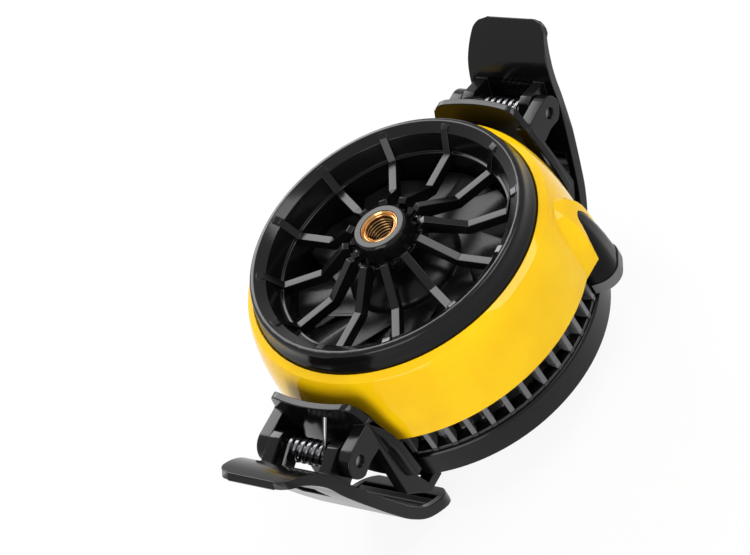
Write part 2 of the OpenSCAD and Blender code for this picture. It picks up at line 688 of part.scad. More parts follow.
// One leg stands square on the lever, the other runs up to the front of the saddle plate
lever_seat = 3 * knot_steps;
lever_side = side_vector(lever_line, lever_seat);
lever_face = lever_line[lever_seat] + inner_off * lever_side;
turn_from = atan2(lever_side[1], lever_side[0]) + 90;
plate_seat = [sqrt(pow(saddle_out_r, 2) - pow(spring_y, 2)) + wire_d / 2 + rest_gap - pivot_x,
    saddle_top - 1.2 - pivot_z];
turn_end = atan2(plate_seat[1], plate_seat[0]) - acos(coil_r / norm(plate_seat));
turn_all = 360 * coil_turns + turn_end - turn_from;
lever_leg = (lever_face - coil_r * [cos(turn_from), sin(turn_from)]) * lever_side - rest_gap;
saddle_leg = sqrt(pow(norm(plate_seat), 2) - pow(coil_r, 2));
spring_rings = round(turn_all / 360 * rings_per_turn);
helix = [for (i = [0:spring_rings]) let (a = turn_from + turn_all * i / spring_rings)
    [coil_r * cos(a), spring_y + coil_pitch * coil_turns * i / spring_rings, coil_r * sin(a)]];
function leg_dir(a) = [cos(a), 0, sin(a)];
wire_line = concat(
    [helix[0] + lever_leg * leg_dir(turn_from - 90),
    helix[0] + (lever_leg - wire_d) * leg_dir(turn_from - 90)],
    helix,
    [helix[spring_rings] + (saddle_leg - wire_d) * leg_dir(turn_from + turn_all + 90),
    helix[spring_rings] + saddle_leg * leg_dir(turn_from + turn_all + 90)]
);
// Least gap between stretches of wire that are half a turn or more apart
wire_gap = min([for (i = [0:len(wire_line) - 1], j = [i + rings_per_turn / 2:1:len(wire_line) - 1])
    norm(wire_line[i] - wire_line[j])]) - wire_d;
echo(spring_least_gap = wire_gap);
module swept_wire(path, d, sides) {
    last = len(path) - 1;
    function course(i) = let (v = path[min(i + 1, last)] - path[max(i - 1, 0)]) v / norm(v);
    // The reference direction leans off the pin's axis, so that it never lies along the wire
    points = [for (i = [0:last]) let (t = course(i), u0 = cross(t, [0.05, 1, 0.02]), u = u0 / norm(u0),
        v = cross(t, u)) for (k = [0:sides - 1])
        path[i] + d / 2 * (cos(360 * k / sides) * u + sin(360 * k / sides) * v)];
    side_faces = [for (i = [0:last - 1], k = [0:sides - 1], half = [0, 1])
        let (a = i * sides + k, b = i * sides + (k + 1) % sides)
        half == 0 ? [a, b, b + sides] : [a, b + sides, a + sides]];
    end_faces = [for (k = [1:sides - 2], half = [0, 1])
        half == 0 ? [0, k + 1, k] : [last * sides, last * sides + k, last * sides + k + 1]];
    polyhedron(points, concat(side_faces, end_faces));
}
module clip_spring() color("#b9bcc2") translate([pivot_x, 0, pivot_z])
    swept_wire(wire_line, wire_d, wire_sides);

module clip_bracket_right() clip_bracket();
module clip_bracket_left() left_hand() clip_bracket();
module clip_lever_right() clip_lever();
module clip_lever_left() left_hand() clip_lever();
module jaw_pad_right() jaw_pad();
module jaw_pad_left() left_hand() jaw_pad();
module clip_pin_right() clip_pin();
module clip_pin_left() left_hand() clip_pin();
module clip_spring_right() clip_spring();
module clip_spring_left() left_hand() clip_spring();

front_grille();
threaded_insert();
case_ring();
vent_ring();
base_cover();
usb_port_hood();
usb_socket();
control_board();
thermal_pad();
cold_plate();
peltier_module();
insulation_ring();
heat_sink();
motor_base();
motor_board();
bearing_sleeve();
stator_core();
stator_coils();
fan_impeller();
rotor_yoke();
rotor_magnet();
fan_shaft();
housing_screws();
bracket_screws();
clip_bracket_right();
clip_bracket_left();
clip_lever_right();
clip_lever_left();
jaw_pad_right();
jaw_pad_left();
clip_pin_right();
clip_pin_left();
clip_spring_right();
clip_spring_left();
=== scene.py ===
"""Looks of the clip-on phone cooler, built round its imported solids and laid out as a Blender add-on.

Every piece keeps the solids' frame: metres, +Z along the fan axis, z = 0 on the cold contact face.
"""

import json
import math

import bmesh
import bpy
from bpy.props import FloatProperty, FloatVectorProperty, IntProperty, PointerProperty
from mathutils import Matrix, Vector

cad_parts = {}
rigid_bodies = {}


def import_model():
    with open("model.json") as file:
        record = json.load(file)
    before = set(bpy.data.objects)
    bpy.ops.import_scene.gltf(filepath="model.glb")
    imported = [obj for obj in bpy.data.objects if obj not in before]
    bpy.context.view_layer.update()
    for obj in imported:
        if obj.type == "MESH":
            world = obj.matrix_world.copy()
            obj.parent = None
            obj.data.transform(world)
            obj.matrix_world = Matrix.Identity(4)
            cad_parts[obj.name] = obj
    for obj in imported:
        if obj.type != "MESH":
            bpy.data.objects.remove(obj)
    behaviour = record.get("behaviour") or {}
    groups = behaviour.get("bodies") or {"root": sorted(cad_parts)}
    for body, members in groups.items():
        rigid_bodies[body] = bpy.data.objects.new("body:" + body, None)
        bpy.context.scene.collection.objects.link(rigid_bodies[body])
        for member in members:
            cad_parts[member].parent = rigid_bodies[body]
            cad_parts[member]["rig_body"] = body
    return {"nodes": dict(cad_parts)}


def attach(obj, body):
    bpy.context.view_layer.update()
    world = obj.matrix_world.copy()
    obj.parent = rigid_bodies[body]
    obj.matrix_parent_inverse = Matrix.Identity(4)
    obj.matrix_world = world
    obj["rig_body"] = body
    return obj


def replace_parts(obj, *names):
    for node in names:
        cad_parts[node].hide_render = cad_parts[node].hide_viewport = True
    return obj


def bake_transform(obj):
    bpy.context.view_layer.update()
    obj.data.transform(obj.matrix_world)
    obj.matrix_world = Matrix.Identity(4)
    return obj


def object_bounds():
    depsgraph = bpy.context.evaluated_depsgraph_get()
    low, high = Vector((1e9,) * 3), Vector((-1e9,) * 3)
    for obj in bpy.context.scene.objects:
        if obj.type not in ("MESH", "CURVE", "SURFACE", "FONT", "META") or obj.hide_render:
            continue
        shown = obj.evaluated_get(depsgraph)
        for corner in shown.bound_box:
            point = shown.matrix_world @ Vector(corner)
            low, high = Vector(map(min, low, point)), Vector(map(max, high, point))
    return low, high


bl_info = {
    "name": "Phone cooler looks",
    "version": (1, 0, 0),
    "blender": (4, 5, 0),
    "location": "View3D > Sidebar > Cooler",
    "description": "Finishes and fine detail of a clip-on phone cooler with fan and spring clips",
    "category": "Object",
}

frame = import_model()
CAD_LOW, CAD_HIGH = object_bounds()

MM = 0.001
SIDES = ("right", "left")
# Corners closer than this are one corner of a solid
MERGE = 0.002 * MM
# Faces that turn less than this are one flat face
FLAT = math.radians(0.5)
# Edges that turn more than this are real edges of a moulding
EDGE = math.radians(28)
# Edges shorter than this are closed up before a moulding's edges are rounded
SLIVER = 0.05 * MM
# The right hand clip's pin
PIN = Vector((42.35, 0.0, 23.84)) * MM
# The insert in the hub: its top and length, and its outline as radius and height above the top in mm: seat,
# outer wall, countersunk face, groove and rounded lip, from the bore's foot
INSERT_TOP = 39.0 * MM
INSERT_LENGTH = 7.0 * MM
INSERT_OUTLINE = (
    (3.2, -6.9), (3.85, -6.9), (3.85, -0.06), (3.79, 0.0), (3.72, -0.02), (3.46, -0.34), (3.42, -0.58),
    (3.3, -0.58), (3.27, -0.42), (3.21, -0.34), (3.13, -0.31), (3.05, -0.34), (2.99, -0.42),
    (2.95, -0.55), (2.93, -0.75), (3.15, -0.85),
)
# The insert's lip and thread: the lip's depth, where the thread starts, its crest's radius, and where in a
# pitch the root's flat lies
LIP_DEPTH = 0.8 * MM
THREAD_START = 0.9 * MM
THREAD_CREST = 2.86 * MM
THREAD_ROOT = (0.42, 0.58)
# Depth below the crest at which the painted shade in the thread is darkest
SHADED_DEPTH = 0.14 * MM
# The hub's crown: its radius, the radius of the boss at its foot, the heights of its tops and their slope
CROWN_RADIUS = 8.6 * MM
BOSS_FOOT = 5.5 * MM
CROWN_LOW = 36.0 * MM
CROWN_HIGH = 37.2 * MM
CROWN_SLOPE = 0.42
# The rim's shoulder: the radius it starts at, its foot and crest, and how far it is drawn in between them
SHOULDER_RADIUS = 28.6 * MM
SHOULDER_FOOT = 32.9 * MM
SHOULDER_TOP = 37.0 * MM
SHOULDER_DRAW = 0.7 * MM
# Top of the lip round the power inlet, below which the hood is painted grey as a painted reflection
HOOD_LIP_TOP = 12.12 * MM
# Top of the foot that the outlet's ribs stand on
RIB_FOOT = 10.9 * MM
# A bracket's leg: its corners under the pin, as moulded and as slimmed, seen from its side as x and z
LEG_CORNERS = (((42.96, 20.39), (40.6, 21.1)), ((41.05, 14.24), (37.4, 20.8)))
# A bracket's plate: where it leaves the cheeks, its foot, and how far its wings run on down the legs
WING_START = 11.3 * MM
PLATE_FOOT = 18.5 * MM
WING_LENGTH = 8.8 * MM
# A paddle's tip: its upper edge and its slope seen from the side, its half width, its sides' flare and its
# corners' radius
PADDLE_END = (56.3 * MM, 35.95 * MM)
PADDLE_SLOPE = (0.854, 0.521)
PADDLE_HALF = 8.4 * MM
PADDLE_FLARE = 0.155
PADDLE_CORNER = 2.9 * MM
# How close a corner must be to count as the one that is meant
CORNER_REACH = 0.1 * MM
# Steps in one turn of the insert's body, of its thread and of a spring, and sides of a spring's wire
BODY_STEPS = 96
THREAD_STEPS = 72
COIL_STEPS = 36
WIRE_SIDES = 16
# Paler than the moulding black by this factor: the outlet's ribs, as painted light where the case shades
# them, and the fan
RIB_PAINTED_LIGHT = 26.0
FAN_PALER = 1.6
# Sockets of a Mix shader node by its data type: the two inputs and the result
MIX_SOCKETS = {"RGBA": (6, 7, 2), "FLOAT": (2, 3, 0)}
# The stage: grey of the floor, the share of white in what is seen of it, and the light from all round
FLOOR_GREY = 0.86
FLOOR_GLOW = 0.9
WORLD_LEVEL = 0.34
# Lamps: name, azimuth and elevation in degrees, distance, width and height in metres, and power in watts
LAMPS = (
    ("key_softbox", 240, 32, 0.55, 0.26, 0.42, 2.8),
    ("overhead_softbox", 130, 58, 0.55, 0.3, 0.25, 1.7),
    ("front_fill", 15, 25, 0.8, 0.5, 0.5, 3.7),
)
# Point that the lamps are aimed at
LAMP_AIM = Vector((0.0, 0.0, 20.0)) * MM


# Properties


class CoolerFinishProperties(bpy.types.PropertyGroup):
    """Colours of the finishes"""

    case_yellow: FloatVectorProperty(
        name="Case yellow",
        description="Colour of the lacquered case sleeve",
        default=(1.0, 0.54, 0.004),
        subtype="COLOR",
        min=0.0,
        max=1.0,
    )
    moulding_black: FloatVectorProperty(
        name="Moulding black",
        description="Colour of the satin black mouldings",
        default=(0.004, 0.004, 0.0043),
        subtype="COLOR",
        min=0.0,
        max=1.0,
    )
    brass: FloatVectorProperty(
        name="Brass",
        description="Colour of the threaded insert",
        default=(0.5, 0.28, 0.11),
        subtype="COLOR",
        min=0.0,
        max=1.0,
    )
    # The lip's grey is a painted reflection: lighter than the black moulding so that the lip looks lit
    lip_painted_reflection: FloatVectorProperty(
        name="Lip grey",
        description="Colour of the lip round the power inlet",
        default=(0.14, 0.14, 0.145),
        subtype="COLOR",
        min=0.0,
        max=1.0,
    )
    grip_grey: FloatVectorProperty(
        name="Grip grey",
        description="Colour of the rubber on the clip jaws",
        default=(0.03, 0.03, 0.031),
        subtype="COLOR",
        min=0.0,
        max=1.0,
    )


class CoolerDetailProperties(bpy.types.PropertyGroup):
    """Sizes of the fine detail"""

    moulding_round: FloatProperty(
        name="Moulding edge",
        description="Rounding of the edges of the large mouldings",
        default=0.22 * MM,
        min=0.0,
        unit="LENGTH",
        precision=5,
    )
    fine_round: FloatProperty(
        name="Fine edge",
        description="Rounding of the edges of ribs, spokes and small pieces",
        default=0.12 * MM,
        min=0.0,
        unit="LENGTH",
        precision=5,
    )
    thread_pitch: FloatProperty(
        name="Thread pitch",
        description="Rise of the insert's thread in one turn",
        default=0.74 * MM,
        min=0.2 * MM,
        unit="LENGTH",
        precision=5,
    )
    thread_depth: FloatProperty(
        name="Thread depth",
        description="Depth of the insert's thread",
        default=0.3 * MM,
        min=0.05 * MM,
        unit="LENGTH",
        precision=5,
    )
    wire: FloatProperty(
        name="Spring wire",
        description="Diameter of the clip springs' wire",
        default=0.85 * MM,
        min=0.3 * MM,
        unit="LENGTH",
        precision=5,
    )
    coil_radius: FloatProperty(
        name="Spring coil",
        description="Mean radius of the clip springs' coils",
        default=2.15 * MM,
        min=1.0 * MM,
        unit="LENGTH",
        precision=5,
    )
    coil_turns: IntProperty(
        name="Spring turns",
        description="Full turns of a clip spring",
        default=6,
        min=2,
        max=12,
    )
    coil_pitch: FloatProperty(
        name="Spring pitch",
        description="Rise of a clip spring in one turn",
        default=1.5 * MM,
        min=0.5 * MM,
        unit="LENGTH",
        precision=5,
    )
    lever_leg: FloatProperty(
        name="Spring lever leg",
        description="Length of the spring leg that bears on the lever",
        default=3.967 * MM,
        min=1.0 * MM,
        unit="LENGTH",
        precision=5,
    )
    lever_leg_angle: FloatProperty(
        name="Spring lever leg angle",
        description="Turn round the pin, from straight out, at which the lever leg leaves the coil",
        default=math.radians(69.74),
        unit="ROTATION",
    )
    plate_leg: FloatProperty(
        name="Spring plate leg",
        description="Length of the spring leg that bears on the bracket's curved plate",
        default=7.832 * MM,
        min=1.0 * MM,
        unit="LENGTH",
        precision=5,
    )
    plate_leg_angle: FloatProperty(
        name="Spring plate leg angle",
        description="Turn round the pin, from straight out, at which the plate leg leaves the coil",
        default=math.radians(44.4),
        unit="ROTATION",
    )


class CoolerStageProperties(bpy.types.PropertyGroup):
    """Camera and lamps"""

    camera_place: FloatVectorProperty(
        name="Camera place",
        description="Where the camera stands",
        default=(0.2207, 0.3022, 0.3653),
        subtype="TRANSLATION",
        unit="LENGTH",
    )
    camera_aim: FloatVectorProperty(
        name="Camera aim",
        description="Point that the camera looks at",
        default=(0.002, -0.008, 0.024),
        subtype="TRANSLATION",
        unit="LENGTH",
    )
    camera_roll: FloatProperty(
        name="Camera roll",
        description="Turn of the camera round its own line of sight",
        default=math.radians(-35.46),
        unit="ROTATION",
    )
    focal_length: FloatProperty(
        name="Focal length",
        description="Focal length on a sensor 36 mm wide",
        default=124.8,
        unit="CAMERA",
    )
    lamp_level: FloatProperty(
        name="Lamp level",
        description="Share of the plain lamp level",
        default=1.0,
        min=0.0,
        subtype="FACTOR",
    )


# Shader effects


def place(tree, kind, inputs=None, **settings):
    """Adds a shader node. An input takes a number, a colour or another node's output."""
    made = tree.nodes.new(kind)
    for name, value in settings.items():
        setattr(made, name, value)
    for name, value in (inputs or {}).items():
        if isinstance(value, bpy.types.NodeSocket):
            tree.links.new(value, made.inputs[name])
        else:
            made.inputs[name].default_value = value
    return made


def effect(name, inputs, outputs):
    """A new shader node group with its input and output nodes."""
    group = bpy.data.node_groups.new(name, "ShaderNodeTree")
    for label, default in inputs.items():
        socket = group.interface.new_socket(label, in_out="INPUT", socket_type="NodeSocketFloat")
        socket.default_value = default
    for label in outputs:
        group.interface.new_socket(label, in_out="OUTPUT", socket_type="NodeSocketFloat")
    return group, place(group, "NodeGroupInput"), place(group, "NodeGroupOutput")


def object_coordinates(tree):
    return place(tree, "ShaderNodeTexCoord").outputs["Object"]


def moulding_grain():
    """Fine spark-eroded grain of a mould, with the slow mottling of the plastic under it."""
    group, given, result = effect("Moulding grain", {"Scale": 2500.0}, ("Height", "Mottle"))
    where = object_coordinates(group)
    grain = place(group, "ShaderNodeTexNoise", {
        "Vector": where, "Scale": given.outputs["Scale"], "Detail": 2.0, "Roughness": 0.6,
    })
    mottle = place(group, "ShaderNodeTexNoise", {"Vector": where, "Scale": 95.0, "Detail": 4.0})
    group.links.new(grain.outputs["Fac"], result.inputs["Height"])
    group.links.new(mottle.outputs["Fac"], result.inputs["Mottle"])
    return group


def hand_marks():
    """Faint wiping marks that handling leaves on a smooth surface."""
    group, given, result = effect("Hand marks", {"Scale": 70.0}, ("Mask",))
    where = object_coordinates(group)
    bent = place(group, "ShaderNodeTexNoise", {"Vector": where, "Scale": 40.0, "Detail": 2.0})
    marks = place(group, "ShaderNodeTexNoise", {
        "Vector": where, "Scale": given.outputs["Scale"], "Detail": 5.0, "Distortion": 1.4,
    })
    both = place(group, "ShaderNodeMath", operation="MULTIPLY")
    group.links.new(bent.outputs["Fac"], both.inputs[0])
    group.links.new(marks.outputs["Fac"], both.inputs[1])
    spread = place(group, "ShaderNodeMapRange", {
        "Value": both.outputs[0], "From Min": 0.12, "From Max": 0.42,
    })
    group.links.new(spread.outputs["Result"], result.inputs["Mask"])
    return group


def turning_lines():
    """Rings that a lathe tool leaves round the fan axis."""
    group, given, result = effect("Turning lines", {"Pitch": 0.1 * MM}, ("Height",))
    split = place(group, "ShaderNodeSeparateXYZ", {"Vector": object_coordinates(group)})
    flat = place(group, "ShaderNodeCombineXYZ", {"X": split.outputs["X"], "Y": split.outputs["Y"]})
    radius = place(group, "ShaderNodeVectorMath", {"Vector": flat.outputs["Vector"]}, operation="LENGTH")
    rings = place(group, "ShaderNodeMath", operation="PINGPONG")
    group.links.new(radius.outputs["Value"], rings.inputs[0])
    group.links.new(given.outputs["Pitch"], rings.inputs[1])
    height = place(group, "ShaderNodeMath", operation="DIVIDE")
    group.links.new(rings.outputs[0], height.inputs[0])
    group.links.new(given.outputs["Pitch"], height.inputs[1])
    group.links.new(height.outputs[0], result.inputs["Height"])
    return group


def drawn_lines():
    """Long fine lines of drawn or brushed metal along the Y axis."""
    group, given, result = effect("Drawn lines", {"Scale": 900.0}, ("Height", "Mask"))
    long = place(group, "ShaderNodeMapping", {
        "Vector": object_coordinates(group), "Scale": (1.0, 0.06, 1.0),
    })
    lines = place(group, "ShaderNodeTexNoise", {
        "Vector": long.outputs["Vector"], "Scale": given.outputs["Scale"], "Detail": 3.0,
    })
    patches = place(group, "ShaderNodeTexNoise", {"Vector": long.outputs["Vector"], "Scale": 180.0})
    group.links.new(lines.outputs["Fac"], result.inputs["Height"])
    group.links.new(patches.outputs["Fac"], result.inputs["Mask"])
    return group


EFFECTS = {
    "Moulding grain": moulding_grain,
    "Hand marks": hand_marks,
    "Turning lines": turning_lines,
    "Drawn lines": drawn_lines,
}


def use_effect(tree, name, inputs=None):
    """Places a shared effect in a material, and builds it at its first use."""
    group = bpy.data.node_groups.get(name) or EFFECTS[name]()
    made = tree.nodes.new("ShaderNodeGroup")
    made.node_tree = group
    for label, value in (inputs or {}).items():
        made.inputs[label].default_value = value
    return made


def seen_rays(tree):
    """One where a ray comes from the camera, a reflection or through glass, else nought."""
    path = place(tree, "ShaderNodeLightPath")
    total = path.outputs["Is Camera Ray"]
    for label in ("Is Glossy Ray", "Is Transmission Ray"):
        added = place(tree, "ShaderNodeMath", operation="MAXIMUM")
        tree.links.new(total, added.inputs[0])
        tree.links.new(path.outputs[label], added.inputs[1])
        total = added.outputs[0]
    return total


# Materials


def shade(colour, factor):
    """The colour made lighter or darker by a factor, as a shader input."""
    return tuple(min(1.0, c * factor) for c in colour) + (1.0,)


def new_material(name, constants):
    """An empty material with a Principled BSDF that has the given constant inputs."""
    material = bpy.data.materials.new(f"finish_{name}")
    material.use_nodes = True
    shader = material.node_tree.nodes["Principled BSDF"]
    for label, value in constants.items():
        shader.inputs[label].default_value = value
    return material, material.node_tree, shader


def vary_colour(tree, shader, mask, dark, light):
    mixed = place(tree, "ShaderNodeMix", {"Factor": mask}, data_type="RGBA")
    first, last, result = MIX_SOCKETS["RGBA"]
    mixed.inputs[first].default_value = dark
    mixed.inputs[last].default_value = light
    tree.links.new(mixed.outputs[result], shader.inputs["Base Color"])


def vary_roughness(tree, shader, mask, low, high):
    spread = place(tree, "ShaderNodeMapRange", {"Value": mask, "To Min": low, "To Max": high})
    tree.links.new(spread.outputs["Result"], shader.inputs["Roughness"])


def emboss(tree, shader, height, depth, strength=1.0):
    bump = place(tree, "ShaderNodeBump", {"Height": height, "Distance": depth, "Strength": strength})
    tree.links.new(bump.outputs["Normal"], shader.inputs["Normal"])


def moulded(name, colour, low, high, grain, depth, constants):
    """Moulded plastic: mottled colour, wiping marks in the gloss, and a fine grain."""
    material, tree, shader = new_material(name, constants)
    skin = use_effect(tree, "Moulding grain", {"Scale": grain})
    marks = use_effect(tree, "Hand marks")
    vary_colour(tree, shader, skin.outputs["Mottle"], shade(colour, 0.8), shade(colour, 1.2))
    vary_roughness(tree, shader, marks.outputs["Mask"], low, high)
    emboss(tree, shader, skin.outputs["Height"], depth)
    return material


def metal(name, colour, low, high, lines, depth, scale):
    """Bare metal with the lines of its making."""
    material, tree, shader = new_material(name, {"Metallic": 1.0})
    inputs = {"Pitch": scale} if lines == "Turning lines" else {"Scale": scale}
    made = use_effect(tree, lines, inputs)
    marks = use_effect(tree, "Hand marks", {"Scale": 220.0})
    vary_colour(tree, shader, marks.outputs["Mask"], shade(colour, 0.88), shade(colour, 1.08))
    vary_roughness(tree, shader, marks.outputs["Mask"], low, high)
    emboss(tree, shader, made.outputs["Height"], depth)
    return material


def yellow_gloss(colours):
    """Yellow plastic under clear lacquer, a little deeper in colour in patches."""
    constants = {"Coat Weight": 1.0, "Coat Roughness": 0.03, "Coat IOR": 1.25, "Specular IOR Level": 0.0}
    return moulded("yellow_gloss", colours.case_yellow, 0.28, 0.36, 600.0, 0.002 * MM, constants)


def black_satin(colours):
    constants = {"Specular IOR Level": 0.2}
    return moulded("black_satin", colours.moulding_black, 0.14, 0.21, 2600.0, 0.003 * MM, constants)


def other_foot(material, level, colour, roughness):
    """Gives a material another colour and roughness below a level of the part."""
    tree = material.node_tree
    split = place(tree, "ShaderNodeSeparateXYZ", {"Vector": object_coordinates(tree)})
    foot = place(tree, "ShaderNodeMath", operation="LESS_THAN")
    tree.links.new(split.outputs["Z"], foot.inputs[0])
    foot.inputs[1].default_value = level
    shader = tree.nodes["Principled BSDF"]
    for label, value, kind in (("Base Color", shade(colour, 1.0), "RGBA"), ("Roughness", roughness, "FLOAT")):
        mixed = place(tree, "ShaderNodeMix", {"Factor": foot.outputs[0]}, data_type=kind)
        first, last, result = MIX_SOCKETS[kind]
        tree.links.new(shader.inputs[label].links[0].from_socket, mixed.inputs[first])
        mixed.inputs[last].default_value = value
        tree.links.new(mixed.outputs[result], shader.inputs[label])
    return material


def ribs_painted_light(colours):
    """Satin black for the outlet's thin ribs, made paler as painted light where the case shades them, on a
    foot left black.
    """
    paler = tuple(RIB_PAINTED_LIGHT * c for c in colours.moulding_black)
    material = moulded("ribs_painted_light", paler, 0.22, 0.32, 2600.0, 0.004 * MM, {"Specular IOR Level": 0.5})
    return other_foot(material, RIB_FOOT, colours.moulding_black, 0.25)


def black_hood(colours):
    """Glossy black above a lip painted matt grey, a painted reflection standing in for the lamps' light on
    the lip.
    """
    material = moulded(
        "black_hood", colours.moulding_black, 0.12, 0.2, 2600.0, 0.002 * MM, {"Specular IOR Level": 0.1},
    )
    # Painted reflection: below the lip's top the hood is painted a lighter grey
    return other_foot(material, HOOD_LIP_TOP, colours.lip_painted_reflection, 0.42)


def black_fan(colours):
    paler = tuple(FAN_PALER * c for c in colours.moulding_black)
    return moulded("black_fan", paler, 0.24, 0.32, 2200.0, 0.004 * MM, {"Specular IOR Level": 0.15})


def brass(colours):
    """Turned brass with painted shade: darker in the thread's roots and the bore below the lip, where shade
    falls.
    """
    material = metal("brass", colours.brass, 0.16, 0.28, "Turning lines", 0.004 * MM, 0.12 * MM)
    tree = material.node_tree
    split = place(tree, "ShaderNodeSeparateXYZ", {"Vector": object_coordinates(tree)})
    flat = place(tree, "ShaderNodeCombineXYZ", {"X": split.outputs["X"], "Y": split.outputs["Y"]})
    radius = place(tree, "ShaderNodeVectorMath", {"Vector": flat.outputs["Vector"]}, operation="LENGTH")
    # Painted shade: the thread's roots and the bore are darkened by radius, and the lip above them is left
    # bright
    bore_shade = place(tree, "ShaderNodeMapRange", {
        "Value": radius.outputs["Value"], "From Min": THREAD_CREST, "From Max": THREAD_CREST + SHADED_DEPTH,
        "To Min": 0.8, "To Max": 0.03,
    })
    lip = place(tree, "ShaderNodeMath", operation="GREATER_THAN")
    tree.links.new(split.outputs["Z"], lip.inputs[0])
    lip.inputs[1].default_value = INSERT_TOP - LIP_DEPTH
    unshaded_share = place(tree, "ShaderNodeMath", operation="MAXIMUM")
    tree.links.new(bore_shade.outputs["Result"], unshaded_share.inputs[0])
    tree.links.new(lip.outputs[0], unshaded_share.inputs[1])
    shader = tree.nodes["Principled BSDF"]
    bright = shader.inputs["Base Color"].links[0].from_socket
    shaded_colour = place(tree, "ShaderNodeVectorMath", {"Scale": unshaded_share.outputs[0]}, operation="SCALE")
    tree.links.new(bright, shaded_colour.inputs[0])
    tree.links.new(shaded_colour.outputs["Vector"], shader.inputs["Base Color"])
    return material


def aluminium(_colours):
    return metal("aluminium", (0.74, 0.75, 0.77), 0.3, 0.44, "Turning lines", 0.004 * MM, 0.2 * MM)


def steel(_colours):
    return metal("steel", (0.6, 0.6, 0.62), 0.24, 0.36, "Drawn lines", 0.004 * MM, 1500.0)


def dark_steel(_colours):
    return metal("dark_steel", (0.28, 0.285, 0.3), 0.3, 0.42, "Drawn lines", 0.004 * MM, 1500.0)


def spring_steel(_colours):
    return metal("spring_steel", (0.2, 0.2, 0.21), 0.14, 0.22, "Drawn lines", 0.004 * MM, 2600.0)


def magnet(_colours):
    return metal("magnet", (0.12, 0.12, 0.13), 0.45, 0.6, "Drawn lines", 0.004 * MM, 700.0)


def grey_rubber(colours):
    constants = {"Specular IOR Level": 0.4}
    return moulded("grey_rubber", colours.grip_grey, 0.34, 0.46, 1700.0, 0.01 * MM, constants)


def silicone(_colours):
    return moulded("silicone", (0.2, 0.23, 0.27), 0.5, 0.66, 1200.0, 0.02 * MM, {})


def ceramic(_colours):
    return moulded("ceramic", (0.8, 0.79, 0.76), 0.4, 0.55, 1800.0, 0.006 * MM, {})


def foam(_colours):
    """Closed-cell foam with open cells at its cut faces."""
    material, tree, shader = new_material("foam", {"Specular IOR Level": 0.2})
    cells = place(tree, "ShaderNodeTexVoronoi", {"Vector": object_coordinates(tree), "Scale": 1400.0})
    skin = use_effect(tree, "Moulding grain")
    vary_colour(tree, shader, cells.outputs["Distance"], (0.012, 0.012, 0.013, 1), (0.04, 0.04, 0.042, 1))
    vary_roughness(tree, shader, skin.outputs["Mottle"], 0.8, 0.95)
    emboss(tree, shader, cells.outputs["Distance"], 0.06 * MM)
    return material


def copper(_colours):
    """Enamelled copper wire, laid in rows."""
    material, tree, shader = new_material("copper", {"Metallic": 1.0})
    wires = place(tree, "ShaderNodeTexWave", {
        "Vector": object_coordinates(tree), "Scale": 1250.0, "Distortion": 0.6,
    }, bands_direction="Z")
    marks = use_effect(tree, "Hand marks")
    vary_colour(tree, shader, wires.outputs["Fac"], (0.3, 0.1, 0.035, 1), (0.72, 0.3, 0.12, 1))
    vary_roughness(tree, shader, marks.outputs["Mask"], 0.22, 0.34)
    emboss(tree, shader, wires.outputs["Fac"], 0.08 * MM)
    return material


def circuit_board(_colours):
    """Green solder mask over copper tracks."""
    material, tree, shader = new_material("circuit_board", {"Coat Weight": 0.5, "Coat Roughness": 0.2})
    tracks = place(tree, "ShaderNodeTexBrick", {
        "Vector": object_coordinates(tree), "Scale": 420.0, "Mortar Size": 0.14,
        "Color1": (0.0, 0.0, 0.0, 1), "Color2": (0.0, 0.0, 0.0, 1), "Mortar": (1.0, 1.0, 1.0, 1),
    })
    skin = use_effect(tree, "Moulding grain")
    vary_colour(tree, shader, tracks.outputs["Fac"], (0.006, 0.07, 0.028, 1), (0.02, 0.16, 0.06, 1))
    vary_roughness(tree, shader, skin.outputs["Mottle"], 0.3, 0.45)
    emboss(tree, shader, tracks.outputs["Fac"], 0.02 * MM)
    return material


FINISHES = {
    "yellow_gloss": yellow_gloss,
    "black_satin": black_satin,
    "ribs_painted_light": ribs_painted_light,
    "black_hood": black_hood,
    "black_fan": black_fan,
    "brass": brass,
    "aluminium": aluminium,
    "steel": steel,
    "dark_steel": dark_steel,
    "spring_steel": spring_steel,
    "grey_rubber": grey_rubber,
    "silicone": silicone,
    "foam": foam,
    "ceramic": ceramic,
    "copper": copper,
    "magnet": magnet,
    "circuit_board": circuit_board,
}


def finish(name):
    """The material of one finish, built at its first use."""
    colours = bpy.context.scene.cooler_finish
    return bpy.data.materials.get(f"finish_{name}") or FINISHES[name](colours)


# Pieces


def merged_copy(node, sliver=SLIVER):
    """A bmesh of a solid with its corners joined, its slivers closed up and its flat faces whole."""
    bm = bmesh.new()
    bm.from_mesh(frame["nodes"][node].data)
    bmesh.ops.remove_doubles(bm, verts=bm.verts, dist=MERGE)
    bmesh.ops.dissolve_limit(bm, angle_limit=FLAT, verts=bm.verts, edges=bm.edges)
    if sliver:
        bmesh.ops.dissolve_degenerate(bm, dist=sliver, edges=bm.edges)
        bmesh.ops.dissolve_limit(bm, angle_limit=FLAT, verts=bm.verts, edges=bm.edges)
    return bm


def round_edges(bm, width, segments=2):
    """Rounds the real edges of a moulding."""
    sharp = [edge for edge in bm.edges if edge.is_manifold and edge.calc_face_angle() > EDGE]
    bmesh.ops.bevel(
        bm,
        geom=sharp,
        offset=width,
        offset_type="OFFSET",
        segments=segments,
        profile=0.5,
        affect="EDGES",
        clamp_overlap=False,
        material=-1,
    )


def add_piece(name, bm, body, slot, smooth=40, look=None):
    """Turns a bmesh into a finished piece on a body, with its own look or that of a material slot."""
    mesh = bpy.data.meshes.new(name)
    bm.to_mesh(mesh)
    bm.free()
    mesh.materials.append(finish(look or slot))
    mesh.shade_smooth()
    mesh.set_sharp_from_angle(angle=math.radians(smooth))
    piece = bpy.data.objects.new(name, mesh)
    bpy.context.scene.collection.objects.link(piece)
    if body:
        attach(piece, body)
    return piece


